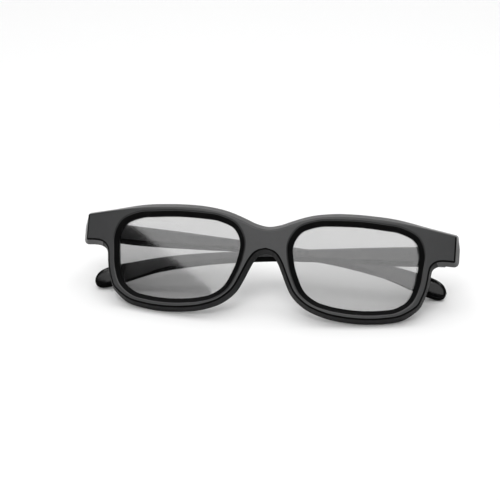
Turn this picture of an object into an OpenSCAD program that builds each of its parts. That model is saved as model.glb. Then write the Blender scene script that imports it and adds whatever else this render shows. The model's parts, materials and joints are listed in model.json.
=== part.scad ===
// Framed 3d glasses, resting with both arms folded behind the front.
// Millimetres. Front frame of reference: X to the wearer's left, Y towards
// the wearer, Z up. The whole part then leans back onto its arm tips.

/* [Front] */
// Overall width across the two ends
front_w = 149.2; // [138:0.2:158]
// Overall height from rim bottom to brow
front_h = 42.7; // [39:0.1:46]
// Thickness of the moulding, front to back
front_t = 4.6; // [4.2:0.1:6]
// Bend radius of the front, seen from above
wrap_r = 260; // [180:5:500]
// How far the side walls flare out towards the back
flare = 1.6; // [0.8:0.1:2]
// The same at the top corner of each end and on the rims' outer sides
end_flare = 0.85; // [0.6:0.05:1.2]
// Small break along the face edge
face_break = 0.5; // [0.3:0.05:0.7]
// Small break along the back edge
back_break = 0.6; // [0.3:0.05:0.8]

/* [Lens openings] */
// Width of the sloping bevel beside each opening
bevel_w = 2.1; // [1.7:0.05:2.3]
// How much wider the bevel is above the opening, and narrower below it
bevel_more = 0.08; // [0:0.02:0.2]
// Depth of that bevel
bevel_deep = 2.1; // [1.6:0.1:2.2]
// Lip left between the bevel and the film groove
lip = 0.3; // [0.2:0.05:0.5]
// How deep the groove is cut into the rim
groove_deep = 1.2; // [0.8:0.1:1.3]
// Break along the back edge of each opening
opening_break = 0.4; // [0.2:0.05:0.6]

/* [Lens films] */
// Thickness of the retarder film, which faces the screen
retarder_t = 0.4; // [0.3:0.05:0.5]
// Thickness of the polariser film behind it
polariser_t = 0.4; // [0.3:0.05:0.5]
// Play of the film stack in the groove, on each face
film_play = 0.05; // [0.04:0.01:0.1]
// Play between the film's rim and the groove's floor
rim_play = 0.15; // [0.1:0.05:0.3]

/* [Hinges] */
// Hinge line, in from the end of the front
hinge_in = 6.2; // [5.5:0.1:6.9]
// Hinge line, behind the back of the front
hinge_behind = 8; // [7:0.1:9]
// How far lugs and end return reach into the front
root_in = 1.6; // [1.2:0.1:2]
// Distance left between the end return and the hinge line
return_short = 1.3; // [1.2:0.1:1.6]
// End return's outer face, in from the arm's outer face
return_inset = 0.5; // [0.3:0.1:0.7]
// How far the end return overlaps the lugs
return_lap = 0.6; // [0.4:0.1:0.8]
// Clearance of the end return round the tongue
tongue_clear = 0.25; // [0.2:0.05:0.35]
// Height of the hinge's middle above the lens centre line
hinge_z = 8.6; // [8:0.1:9.2]
// Steel pin diameter
pin_d = 1.5; // [1.2:0.1:1.8]
// Radial play of the arm on its pin
pin_play = 0.05; // [0.03:0.01:0.08]
// Outer radius of lugs and tongue
lug_r = 2; // [1.8:0.1:2.2]
// Height of each of the two lugs
lug_h = 2.3; // [1.8:0.1:2.6]
// Height of the arm's tongue between the lugs
tongue_h = 3; // [2.4:0.1:3.4]
// Gap between a lug and the tongue
lug_gap = 0.12; // [0.08:0.01:0.2]
// Both pins lean sideways by this angle, as moulded
pin_roll = 0.65; // [0.5:0.05:0.9]
// The pins lean fore and aft by this angle, one each way
pin_pitch = 1.1; // [0.9:0.05:1.4]
// One hinge sits this much high, the other this much low
pin_step = 0.6; // [0.5:0.05:0.8]

/* [Arms] */
// Length from the hinge line to the tip
arm_l = 139; // [132:1:146]
// Outer face of the arms, in from the end of the front
arm_inset = 1.2; // [0.8:0.1:1.6]
// Length of the arm's butt, which meets the end return
butt_l = 6; // [5:0.5:8]
// How far that butt reaches past the hinge line
butt_past = 1.1; // [0.9:0.05:1.15]
// Height of the butt above the hinge's middle
butt_up = 3.8; // [3.4:0.1:4]
// Depth of the butt below it
butt_down = 4.1; // [3.6:0.1:4.2]
// Clearance of the butt beside the lugs
butt_clear = 0.4; // [0.3:0.05:0.6]
// Skin of the arm left outside the butt
butt_skin = 0.1; // [0.05:0.05:0.2]
// Thickness at the hinge end
arm_t_root = 4.2; // [3.6:0.1:4.4]
// Thickness along the slender middle
arm_t_mid = 2.4; // [2:0.1:2.8]
// Thickness at the ear hook
arm_t_tip = 3; // [2.4:0.1:3.4]
// How much lower the outer face reaches than the inner one, under the slanted lower side
arm_slant = 2.1; // [1.2:0.1:2.2]
// Folded angle of the left arm, from the line between the hinges
fold_left = -1.7; // [-2.2:0.1:-1.2]
// Folded angle of the right arm, which lies behind the left one
fold_right = 1.5; // [1.2:0.1:2.2]

/* [Stance] */
// How far the front leans back on its arm tips
lean = 30.35; // [29:0.05:32]

/* [Hidden] */
$fn = 96;
steps = 2;          // points laid between two outline stations
black = [0.16, 0.16, 0.17];
film_grey = [0.55, 0.55, 0.55, 0.55];
film_smoke = [0.45, 0.45, 0.45, 0.6];
steel = [0.7, 0.7, 0.72];

// Lens opening, face edge of the bevel, anticlockwise from the outer side
ring_drawn = [
    [60.9, 0], [61.2, 7.0], [58.3, 13.2], [51.6, 16.3], [45.1, 17.0], [39.9, 17.35],
    [35.3, 17.5], [30.6, 17.4], [25.4, 17.15], [18.9, 16.4], [12.0, 13.4], [8.4, 7.2],
    [8.9, 0], [11.0, -6.5], [14.3, -12.5], [19.5, -16.3], [25.3, -18.0], [30.5, -18.7],
    [35.3, -19.0], [40.2, -18.9], [45.6, -18.35], [51.8, -16.95], [57.3, -12.95], [60.0, -6.6]];

// Stations of the outer face edge: place along the ring, x, z and kind.
// Kinds: 0 smooth, 1 corner, 2 brow at the middle, 3 middle, 4 nose arch at the middle.
stations = [
    [0, 63.4, 0.2, 0], [0.3, 64.1, 2.3, 0], [0.6, 65.9, 3.9, 0], [0.8, 68.6, 4.5, 0],
    [1.0, 73.0, 4.5, 1], [1.4, 73.0, 9.4, 0], [1.8, 73.0, 14.8, 1], [2.2, 64.5, 16.2, 0],
    [2.6, 58.0, 17.2, 0], [3, 52.0, 17.95, 0], [4, 46.0, 18.45, 0], [5, 41.0, 18.7, 0],
    [6, 36.0, 18.85, 0], [7, 31.0, 18.8, 0], [8, 26.0, 18.55, 0], [9, 20.0, 17.75, 0],
    [9.5, 15.2, 16.6, 0], [10, 10.0, 14.7, 0], [10.5, 5.0, 12.7, 0], [11, 0, 11.8, 2],
    [11.3, 0, 8.0, 3], [11.6, 0, 4.1, 4], [11.85, 2.3, 3.6, 0], [12.2, 4.4, 2.2, 0],
    [12.6, 6.3, -0.6, 0], [13, 7.9, -4.0, 0], [13.5, 9.5, -7.6, 0], [14, 11.6, -11.6, 0],
    [14.5, 14.6, -14.75, 0], [15, 18.6, -17.3, 0], [16, 24.8, -19.4, 0], [17, 30.3, -20.25, 0],
    [18, 35.5, -20.55, 0], [19, 40.8, -20.45, 0], [20, 46.5, -19.8, 0], [21, 53.2, -18.2, 0],
    [22, 59.2, -14.2, 0], [22.5, 61.2, -10.5, 0], [23, 62.4, -6.8, 0], [23.5, 63.0, -3.3, 0]];

// Arm side view: place along the arm, top edge, bottom edge, above the hinge middle
arm_drawn = [
    [2.5, 3.8, -4.1], [10, 3.3, -5.0], [20, 2.6, -5.4], [31, 1.8, -5.5], [43, 0.8, -5.5],
    [55, -0.2, -5.5], [68, -1.3, -6.1], [82, -2.5, -7.4], [94, -3.7, -9.0], [104, -5.0, -10.9],
    [114, -6.8, -13.1], [123, -8.8, -16.2], [129, -10.2, -18.5], [133, -11.4, -19.75],
    [135.8, -12.7, -20.1], [137.6, -14.2, -19.55], [138.5, -15.9, -18.3]];
tip_cap = 0.5;      // rounded cap beyond the last row

function unit(v) = v / norm(v);
function column(list, c) = [for (q = list) q[c]];

// Stretch from the drawn tables to the chosen sizes
sx = (front_w / 2 - flare) / max(column(stations, 1));
sz = (front_h - 2 * flare) / (max(column(stations, 2)) - min(column(stations, 2)));
stretch = (arm_l - tip_cap) / max(column(arm_drawn, 0));
// Smooth curve through four points, between the middle two
function through(a, b, c, d, t) =
    0.5 * (2 * b + (c - a) * t + (2 * a - 5 * b + 4 * c - d) * t * t
        + (3 * b - a - 3 * c + d) * t * t * t);

// Depth of the wrapped face at a distance x from the middle
function wrap_y(x) = wrap_r - sqrt(wrap_r * wrap_r - x * x);

// Ring point and its outward normal at a place along the ring
rings = len(ring_drawn);
function ring_knot(j) = [ring_drawn[(j + rings) % rings][0] * sx, ring_drawn[(j + rings) % rings][1] * sz];
function ring_at(u) = let (j = floor(u), t = u - j)
    through(ring_knot(j - 1), ring_knot(j), ring_knot(j + 1), ring_knot(j + 2), t);
function ring_out(u) = let (d = unit(ring_at(u + 0.05 + rings) - ring_at(u - 0.05 + rings))) [d[1], -d[0]];

// Outer face edge, laid between the stations
count = len(stations);
function spot(j) = [stations[(j + count) % count][1] * sx, stations[(j + count) % count][2] * sz];
function kind(j) = stations[(j + count) % count][3];
function before(j) = kind(j) == 4 ? [-spot(j + 1)[0], spot(j + 1)[1]]
    : kind(j) > 0 ? 2 * spot(j) - spot(j + 1) : spot(j - 1);
function after(j) = kind(j) == 2 ? [-spot(j - 1)[0], spot(j - 1)[1]]
    : kind(j) > 0 ? 2 * spot(j) - spot(j - 1) : spot(j + 1);
function edge_at(j, t) = through(before(j), spot(j), spot(j + 1), after(j + 1), t);
function ring_u(j, t) = let (a = stations[j][0], b = j == count - 1 ? rings : stations[j + 1][0]) a + (b - a) * t;

edge = [for (j = [0 : count - 1]) for (q = [0 : steps - 1]) edge_at(j, q / steps)];
places = [for (j = [0 : count - 1]) for (q = [0 : steps - 1]) ring_u(j, q / steps)];
// 0 free, 2 brow, 3 on the middle plane, 4 nose arch
middles = [for (j = [0 : count - 1]) for (q = [0 : steps - 1])
    q == 0 ? (kind(j) > 1 ? kind(j) : 0) : (kind(j) == 2 || kind(j) == 3 ? 3 : 0)];
n = len(edge);
function side_of(a, b) = let (d = unit(b - a)) [d[1], -d[0]];
function mitre(i) = middles[i] == 2 ? [0, 1] : middles[i] == 4 ? [0, -1] : middles[i] == 3 ? [0, 0]
    : let (a = side_of(edge[(i + n - 1) % n], edge[i]), b = side_of(edge[i], edge[(i + 1) % n]))
        (a + b) / (1 + a * b);
outs = [for (i = [0 : n - 1]) mitre(i)];
knots = [for (i = [0 : n - 1]) ring_at(places[i])];
knot_outs = [for (i = [0 : n - 1]) ring_out(places[i])];

// The walls spread less at the top corner of each end and on the rims' outer sides
function rise(v, low, high) = smooth((v - low) / (high - low));
function corner_share(p) = rise(p[0], spot(10)[0], spot(7)[0]) * rise(p[1], spot(5)[1], spot(6)[1]);
function outer_share(p) = rise(p[0], spot(35)[0], spot(38)[0]) * rise(p[1], spot(3)[1], spot(0)[1]);
function flare_at(i) = mix(flare, end_flare, max(corner_share(edge[i]), outer_share(edge[i])));

// Groove for the two films
film_t = retarder_t + polariser_t;
groove_a = bevel_deep + lip;
groove_b = groove_a + film_t + 2 * film_play;

// Bevel width and groove floor at one place round the opening
function bevel_at(i) = bevel_w + bevel_more * knot_outs[i][1];
function floor_at(i) = bevel_at(i) - groove_deep;

// One cross-section of the moulding, from the bevel's face edge right round
function ring_pt(i, off, deep) = let (p = knots[i] - knot_outs[i] * off) [p[0], deep, p[1]];
function edge_pt(i, off, deep) = let (p = edge[i] + outs[i] * off) [p[0], deep, p[1]];
function section(i) = [
    ring_pt(i, 0, 0),
    edge_pt(i, -face_break, 0),
    edge_pt(i, 0, face_break),
    edge_pt(i, flare_at(i), front_t - back_break),
    edge_pt(i, flare_at(i) - back_break, front_t),
    ring_pt(i, bevel_at(i) - opening_break, front_t),
    ring_pt(i, bevel_at(i), front_t - opening_break),
    ring_pt(i, bevel_at(i), groove_b),
    ring_pt(i, floor_at(i), groove_b),
    ring_pt(i, floor_at(i), groove_a),
    ring_pt(i, bevel_at(i), groove_a),
    ring_pt(i, bevel_at(i), bevel_deep)];
k = len(section(0));
function bent(p, side) = [side * p[0], wrap_y(p[0]) + p[1], p[2]];
front_points = [for (side = [1, -1]) for (i = [0 : n - 1]) for (p = section(i)) bent(p, side)];
// Points on the middle plane belong to both halves
function at(h, i, c) = (h == 1 && middles[i % n] > 0 && c >= 1 && c <= 4) ? (i % n) * k + c % k
    : h * n * k + (i % n) * k + c % k;
function inner(i, c) = middles[i % n] > 0 && middles[(i + 1) % n] > 0 && c >= 1 && c <= 3;
front_faces = [for (h = [0, 1]) for (i = [0 : n - 1]) for (c = [0 : k - 1]) if (!inner(i, c))
    let (a = at(h, i, c), b = at(h, i + 1, c), d = at(h, i + 1, c + 1), e = at(h, i, c + 1))
    each h == 0 ? [[a, b, d], [a, d, e]] : [[a, d, b], [a, e, d]]];

// Where the hinges stand
end_x = max([for (i = [0 : n - 1]) edge[i][0] + outs[i][0] * flare_at(i)]);
hinge_x = end_x - hinge_in;
hinge_y = wrap_y(hinge_x) + front_t + hinge_behind;
lug_top = tongue_h / 2 + lug_gap + lug_h;
arm_out = hinge_in - arm_inset; // outer face of the arm, out from the hinge line

// Height of the rims' lowest point once the front leans back
stand_z = -min([for (p = front_points) p[2] * cos(lean) - p[1] * sin(lean)]);
stand_y = -10.56;

module stand() translate([0, stand_y, stand_z]) rotate([-lean, 0, 0]) children();

// Hinge frame of one side: origin at the hinge's middle, Z along the pin
module at_hinge(side)
    translate([side * hinge_x, hinge_y, hinge_z - side * pin_step])
        rotate([-side * pin_pitch, -pin_roll, 0]) children();

// Lugs and end return of one side, still without the pin bore
module hinge_lugs(side) {
    for (up = [-1, 1]) {
        low = up > 0 ? tongue_h / 2 + lug_gap : -lug_top;
        translate([0, 0, low]) cylinder(r = lug_r, h = lug_h);
        translate([-lug_r, -hinge_behind - root_in, low])
            cube([2 * lug_r, hinge_behind + root_in, lug_h]);
    }
    difference() {
        translate([side > 0 ? lug_r - return_lap : return_inset - arm_out, -hinge_behind - root_in, -lug_top])
            cube([arm_out - return_inset - lug_r + return_lap, hinge_behind + root_in - return_short,
                2 * lug_top]);
        translate([0, 0, -tongue_h / 2 - lug_gap])
            cylinder(r = lug_r + tongue_clear, h = tongue_h + 2 * lug_gap);
    }
}

module front_frame() color(black) stand() difference() {
    union() {
        polyhedron(points = front_points, faces = front_faces, convexity = 8);
        for (side = [1, -1]) at_hinge(side) hinge_lugs(side);
    }
    for (side = [1, -1]) at_hinge(side)
        translate([0, 0, -2 * lug_top]) cylinder(d = pin_d, h = 4 * lug_top);
}

// Film outline: the groove's floor less its play
film_outline = [for (i = [0 : n - 1]) knots[i] - knot_outs[i] * (floor_at(i) + rim_play)];

module film(side, near, far) stand() intersection() {
    mirror([side < 0 ? 1 : 0, 0, 0]) rotate([90, 0, 0])
        translate([0, 0, -front_h]) linear_extrude(2 * front_h) polygon(film_outline);
    difference() {
        translate([0, wrap_r + near, -front_h]) cylinder(r = wrap_r, h = 2 * front_h, $fn = 720);
        translate([0, wrap_r + far, -2 * front_h]) cylinder(r = wrap_r, h = 4 * front_h, $fn = 720);
    }
}

module retarder(side) color(film_grey)
    film(side, groove_a + film_play, groove_a + film_play + retarder_t);
module polariser(side) color(film_smoke)
    film(side, groove_a + film_play + retarder_t, groove_a + film_play + film_t);

// Arm in its open position: Y along the arm, X outwards, Z along the pin
arm_k = 16;
arms = len(arm_drawn);
function arm_row(j) = let (q = arm_drawn[max(0, min(arms - 1, j))]) [q[0] * stretch, q[1], q[2]];
arm_steps = 4;
rows = [for (j = [0 : arms - 2]) for (q = [0 : arm_steps - 1])
    through(arm_row(j - 1), arm_row(j), arm_row(j + 1), arm_row(j + 2), q / arm_steps),
    arm_row(arms - 1)];
function mix(a, b, t) = a + (b - a) * max(0, min(1, t));
function smooth(t) = let (q = max(0, min(1, t))) q * q * (3 - 2 * q);
// Thickness along the arm, with the tip rounded off
function arm_t(y) = let (f = y / arm_l)
    mix(mix(arm_t_root, arm_t_mid, smooth(f / 0.35)), arm_t_tip, smooth((f - 0.72) / 0.2))
    * (f > 0.955 ? sqrt(max(0.2, 1 - pow((f - 0.955) / 0.05, 2))) : 1);
// Middle of the thickness, out from the hinge line
function arm_mid_x(y) = arm_out - arm_t_root / 2 + 0.15 * smooth(y / 40);
function signed(v, e) = (v < 0 ? -1 : 1) * pow(abs(v), e);
// Slant of the lower side, which dies away at the hinge and at the ear hook
function slant_at(y) = arm_slant * smooth(y / arm_l / 0.07) * (1 - smooth((y / arm_l - 0.72) / 0.18));
function arm_ring(r) = let (w = arm_t(r[0]) / 2, h = (r[1] - r[2]) / 2, m = (r[1] + r[2]) / 2)
    [for (a = [0 : arm_k - 1]) let (g = 360 * (a + 0.5) / arm_k, c = signed(cos(g), 0.6), u = signed(sin(g), 0.6))
        [arm_mid_x(r[0]) + w * c, r[0], m + h * u + max(0, -u) * slant_at(r[0]) * (1 - c) / 2]];
arm_points = concat([for (r = rows) each arm_ring(r)],
    [[arm_mid_x(rows[0][0]), rows[0][0], (rows[0][1] + rows[0][2]) / 2]],
    [let (r = rows[len(rows) - 1]) [arm_mid_x(r[0]), r[0] + tip_cap, (r[1] + r[2]) / 2]]);
arm_m = len(rows);
arm_faces = concat(
    [for (i = [0 : arm_m - 2]) for (a = [0 : arm_k - 1])
        let (b = (a + 1) % arm_k, p = i * arm_k, q = p + arm_k)
        each [[p + a, q + b, q + a], [p + a, p + b, q + b]]],
    [for (a = [0 : arm_k - 1]) [arm_m * arm_k, (a + 1) % arm_k, a]],
    [for (a = [0 : arm_k - 1]) let (p = (arm_m - 1) * arm_k)
        [arm_m * arm_k + 1, p + a, p + (a + 1) % arm_k]]);

module arm_solid() difference() {
    union() {
        polyhedron(points = arm_points, faces = arm_faces, convexity = 6);
        // butt that meets the end return when the arm is open
        translate([lug_r + butt_clear, -butt_past, -butt_down])
            cube([arm_out - lug_r - butt_clear - butt_skin, butt_l, butt_up + butt_down]);
        // tongue between the lugs
        translate([0, 0, -tongue_h / 2]) cylinder(r = lug_r, h = tongue_h);
        translate([0, -lug_r / 2, -tongue_h / 2]) cube([arm_out - arm_t_root / 2, 2.5 * lug_r, tongue_h]);
    }
    translate([0, 0, -tongue_h]) cylinder(r = pin_d / 2 + pin_play, h = 2 * tongue_h);
}

module arm(side, fold) color(black) stand() at_hinge(side)
    rotate([0, 0, side * (90 - fold)]) mirror([side < 0 ? 1 : 0, 0, 0]) arm_solid();

module pin(side) color(steel) stand() at_hinge(side)
    translate([0, 0, -lug_top]) cylinder(d = pin_d, h = 2 * lug_top);

front_frame();
retarder(1);  // lens_left_retarder
polariser(1);  // lens_left_polariser
retarder(-1);  // lens_right_retarder
polariser(-1);  // lens_right_polariser
arm(1, fold_left);  // arm_left
arm(-1, fold_right);  // arm_right
pin(1);  // hinge_pin_left
pin(-1);  // hinge_pin_right
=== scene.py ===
"""Looks of a folded pair of moulded glasses with film lenses, built around the packed frame.

The front and the films are drawn in the front's own frame (X to the wearer's left, Y towards the
wearer, Z up, origin on the face between the lenses), the hinges and arms in the frame of their hinge.
Each mesh is then put where the packed frame has that piece.
"""

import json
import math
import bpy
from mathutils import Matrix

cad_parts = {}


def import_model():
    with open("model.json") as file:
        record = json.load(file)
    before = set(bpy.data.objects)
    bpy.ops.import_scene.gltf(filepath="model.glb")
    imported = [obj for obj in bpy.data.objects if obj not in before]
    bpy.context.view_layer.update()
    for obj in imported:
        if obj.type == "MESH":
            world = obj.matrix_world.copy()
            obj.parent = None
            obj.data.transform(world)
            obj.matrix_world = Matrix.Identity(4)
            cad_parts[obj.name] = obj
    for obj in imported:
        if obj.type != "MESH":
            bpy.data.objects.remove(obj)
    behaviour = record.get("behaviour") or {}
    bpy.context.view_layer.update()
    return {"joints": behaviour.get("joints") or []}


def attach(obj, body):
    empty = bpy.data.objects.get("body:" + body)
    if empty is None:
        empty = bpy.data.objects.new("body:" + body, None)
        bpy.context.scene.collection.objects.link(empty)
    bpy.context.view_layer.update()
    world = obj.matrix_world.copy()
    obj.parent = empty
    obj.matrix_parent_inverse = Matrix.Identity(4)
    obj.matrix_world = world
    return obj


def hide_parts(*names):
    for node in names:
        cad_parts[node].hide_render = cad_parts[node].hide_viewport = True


bl_info = {
    "name": "Folding Film Glasses",
    "version": (1, 0, 0),
    "blender": (4, 5, 0),
    "location": "View3D > Sidebar > Glasses",
    "description": "Dresses a packed pair of folding glasses: front, films, arms, pins and stage",
    "category": "Object",
}

from collections import namedtuple

import bmesh
import bpy
from bpy.props import FloatProperty, FloatVectorProperty, IntProperty, PointerProperty
from mathutils import Matrix, Vector

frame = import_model()

MM = 0.001
SIDES = {"left": 1, "right": -1}
JOINTS = {joint["name"]: joint for joint in frame["joints"]}
HINGES = {side: JOINTS[f"{side}_arm_hinge"] for side in SIDES}

# Finishes of the moulding and of the arms, in the order of their material slots; the seam, lower-wall
# and bevel finishes and the arms' strip finish are painted shade, darker or duller copies of the same
# black plastic
FACE, WALL, SHADED_SEAM, SHADED_UNDER, SHADED_BEVEL = range(5)
SATIN, SHADED_STRIP = range(2)

# Kinds of station on the outer edge
SMOOTH, CORNER, BROW, MIDDLE, ARCH = range(5)

Station = namedtuple("Station", "place x z kind", defaults=[SMOOTH])
ProfilePoint = namedtuple("ProfilePoint", "edge offset depth finish")
RingPoint = namedtuple("RingPoint", "spot outer finish")

# Lens opening where the bevel meets the face: x and z in mm, from the outer side over the brow
OPENING = [
    (60.9, 0), (61.2, 7.0), (58.3, 13.2), (51.6, 16.3), (45.1, 17.0), (39.9, 17.35),
    (35.3, 17.5), (30.6, 17.4), (25.4, 17.15), (18.9, 16.4), (12.0, 13.4), (8.4, 7.2),
    (8.9, 0), (11.0, -6.5), (14.3, -12.5), (19.5, -16.3), (25.3, -18.0), (30.5, -18.7),
    (35.3, -19.0), (40.2, -18.9), (45.6, -18.35), (51.8, -16.95), (57.3, -12.95), (60.0, -6.6),
]

# Middle of a lens, on which the rings of its films close in: x and z in mm
LENS_MIDDLE = (35.3, -0.4)

# Stations of the outer edge: place along the opening, x and z in mm, and kind where it isn't smooth
STATIONS = [Station(*row) for row in (
    (0, 63.4, 0.2), (0.3, 64.1, 2.3), (0.6, 65.9, 3.9), (0.8, 68.6, 4.5),
    (1.0, 73.0, 4.5, CORNER), (1.4, 73.0, 9.4), (1.8, 73.0, 14.8, CORNER),
    (2.2, 64.5, 16.2), (2.6, 58.0, 17.2), (3, 52.0, 17.95), (4, 46.0, 18.45), (5, 41.0, 18.7),
    (6, 36.0, 18.85), (7, 31.0, 18.8), (8, 26.0, 18.55), (9, 20.0, 17.75), (9.5, 15.2, 16.6),
    (10, 10.0, 14.7), (10.5, 5.0, 12.7), (11, 0, 11.8, BROW), (11.3, 0, 8.0, MIDDLE),
    (11.6, 0, 4.1, ARCH), (11.85, 2.3, 3.6), (12.2, 4.4, 2.2), (12.6, 6.3, -0.6), (13, 7.9, -4.0),
    (13.5, 9.5, -7.6), (14, 11.6, -11.6), (14.5, 14.6, -14.75), (15, 18.6, -17.3),
    (16, 24.8, -19.4), (17, 30.3, -20.25), (18, 35.5, -20.55), (19, 40.8, -20.45),
    (20, 46.5, -19.8), (21, 53.2, -18.2), (22, 59.2, -14.2), (22.5, 61.2, -10.5),
    (23, 62.4, -6.8), (23.5, 63.0, -3.3),
)]

# Stations, by number, between which the walls' flare and finish change
OUTER_SIDE, END_START, END_UNDER, END_MIDDLE, END_TOP = 0, 2, 3, 5, 6
BROW_OUTER, BROW_INNER, RIM_LOW, RIM_SIDE = 7, 10, 35, 38

# Arm seen from the side: place along the arm, top edge and bottom edge from the hinge's middle, in mm
ARM_SIDE = [
    (2.5, 3.8, -4.1), (10, 3.3, -5.0), (20, 2.6, -5.4), (31, 1.8, -5.5), (43, 0.8, -5.5),
    (55, -0.2, -5.5), (68, -1.3, -6.1), (82, -2.5, -7.4), (94, -3.7, -9.0), (104, -5.0, -10.9),
    (114, -6.8, -13.1), (123, -8.8, -16.2), (129, -10.2, -18.5), (133, -11.4, -19.75),
    (135.8, -12.7, -20.1), (137.6, -14.2, -19.55), (138.5, -15.9, -18.3),
]

# Shares of the arm's length between which its form and its gloss change
ARM_THINS = (0, 0.35)
SLANT_GROWS = (0, 0.07)
HOOK_FORMS = (0.72, 0.90)
HOOK_THICKENS = (0.72, 0.92)
HOOK_SHINES = (0.88, 0.95)
TIP_ROUNDS = (0.955, 1.005)

# Least square of the tip's thickness, as a share, which keeps its last ring open
TIP_LEAST = 0.2

# Powers that square off the arm's and the hook's section: nought is a box, one an ellipse
ARM_POWER, HOOK_POWER = 0.45, 0.60

# Upward part of a rim's outward direction where the painted shade of the seam line and of the lower
# walls ends
SEAM_ENDS, SHADED_UNDER_ENDS = 0.5, 0.3

# Upright part of a face's direction from which it belongs to the arm's lower strip of painted shade
SHADED_STRIP_STARTS = 0.3

# Share of the back edge's break that is rounded on each side of its two corners
BACK_SOFT = 0.4

# Places along the opening that an end corner spans, and how many roundings it keeps clear
CORNER_SPAN, CORNER_CLEAR = 0.06, 1.2

# How finely curves and roundings are cut
OPENING_STEP = 0.05
SECTION_STEPS, FACE_STRIPS = 6, 6
RIM_STEPS, EDGE_STEPS, OPENING_STEPS = 5, 3, 4
ARM_STEPS, ARM_POINTS = 6, 40
FILM_POINTS, FILM_RINGS = 144, 14
BLOCK_STEPS, DRUM_STEPS, DRUM_SIDES, PIN_SIDES = 4, 4, 64, 48

# Degrees between two faces from which their edge stays hard: on front and pins, on films and arms
HARD_EDGE, CURVED_HARD_EDGE = 32, 40

# Half length and edge of the tool that cuts a bore, and the distance within which points are one
BORE_REACH, BORE_EDGE = 6 * MM, 0.01 * MM
MERGE = 1e-7

# Detail of the noise in patches and in a grain, and the middle of its range, which a ramp spreads out
PATCH_DETAIL, GRAIN_DETAIL = 3, 2
NOISE_LOW, NOISE_HIGH = 0.3, 0.7

# Stage, in metres: place, aim and sides of each lamp
CEILING_LAMP = ((0, 0.1, 1.1), (0, 0.05, 0), (1.6, 1.6))
KEY_LAMP = ((-0.05, -0.68, 0.85), (0, 0, 0), (0.5, 0.3))

# Depth of each glowing panel and x and z of its corners; the films mirror the front one's lower edge
FRONT_PANEL = (-0.78, [(-0.80, 0.64), (-0.66, 0.61), (-0.31, 0.535), (-0.25, 0.44), (0.55, 0.44),
                       (0.55, 1.0), (-0.80, 1.0)])
BACK_PANEL = (1.5, [(-1.6, 0), (1.6, 0), (1.6, 1.3), (-1.6, 1.3)])
FLOOR_HALF = 6


def length(name, description, millimetres):
    """A length property whose default is given in millimetres."""
    return FloatProperty(name=name, description=description, default=millimetres * MM, unit="LENGTH",
                         precision=5)


def angle(name, description, degrees):
    """An angle property whose default is given in degrees."""
    return FloatProperty(name=name, description=description, default=math.radians(degrees),
                         unit="ROTATION")


def colour(name, description, value):
    """A colour property."""
    return FloatVectorProperty(name=name, description=description, default=value, size=3, min=0, max=1,
                               subtype="COLOR")


def share(name, description, value):
    """A number from nought to one."""
    return FloatProperty(name=name, description=description, default=value, min=0, max=1,
                         subtype="FACTOR")


def number(name, description, value):
    """A plain number."""
    return FloatProperty(name=name, description=description, default=value)


class FrontSizes(bpy.types.PropertyGroup):
    """Sizes of the front moulding and its lens openings"""

    thickness: length("Thickness", "Moulding, front to back", 4.6)
    wrap_radius: length("Wrap radius", "Bend of the front, seen from above", 260)
    flare: length("Flare", "How far the side walls spread towards the back", 1.6)
    end_flare: length("End flare", "The same at the end corners and the outer sides", 0.85)
    face_break: length("Face edge", "Narrow slope along the face's outer edge", 0.5)
    edge_round: length("Slope edges", "Rounding on both sides of that slope", 0.12)
    back_round: length("Back edge", "Break along the back's outer edge", 0.6)
    corner_round: length("End corners", "Rounding of the two corners at each end", 0.6)
    bevel_width: length("Bevel width", "Sloping bevel beside each opening", 2.1)
    bevel_more: length("Bevel change", "Wider above the opening and narrower below it", 0.08)
    bevel_depth: length("Bevel depth", "Depth of that bevel", 2.1)
    lip: length("Lip", "Between the bevel and the film groove", 0.3)
    groove: length("Groove", "How deep the film groove goes into the rim", 1.2)
    opening_round: length("Opening edge", "Rounding along the opening's back edge", 0.4)
    rim_round: length("Rim edge", "Rounding where the bevel meets the face", 0.35)
    lean: angle("Lean", "How far the front leans back on the arm tips", 30.35)


class FilmSizes(bpy.types.PropertyGroup):
    """Sizes of the lens films"""

    retarder: length("Retarder", "Thickness of the film that faces the screen", 0.4)
    polariser: length("Polariser", "Thickness of the film behind it", 0.4)
    face_play: length("Face play", "Play of the two films in the groove", 0.05)
    rim_play: length("Rim play", "Play between a film's rim and the groove's floor", 0.15)
    bond_gap: length("Bond", "Air left between the two films", 0.02)
    rim_round: length("Film rim", "Rounding of a film's cut rim", 0.06)


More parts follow.
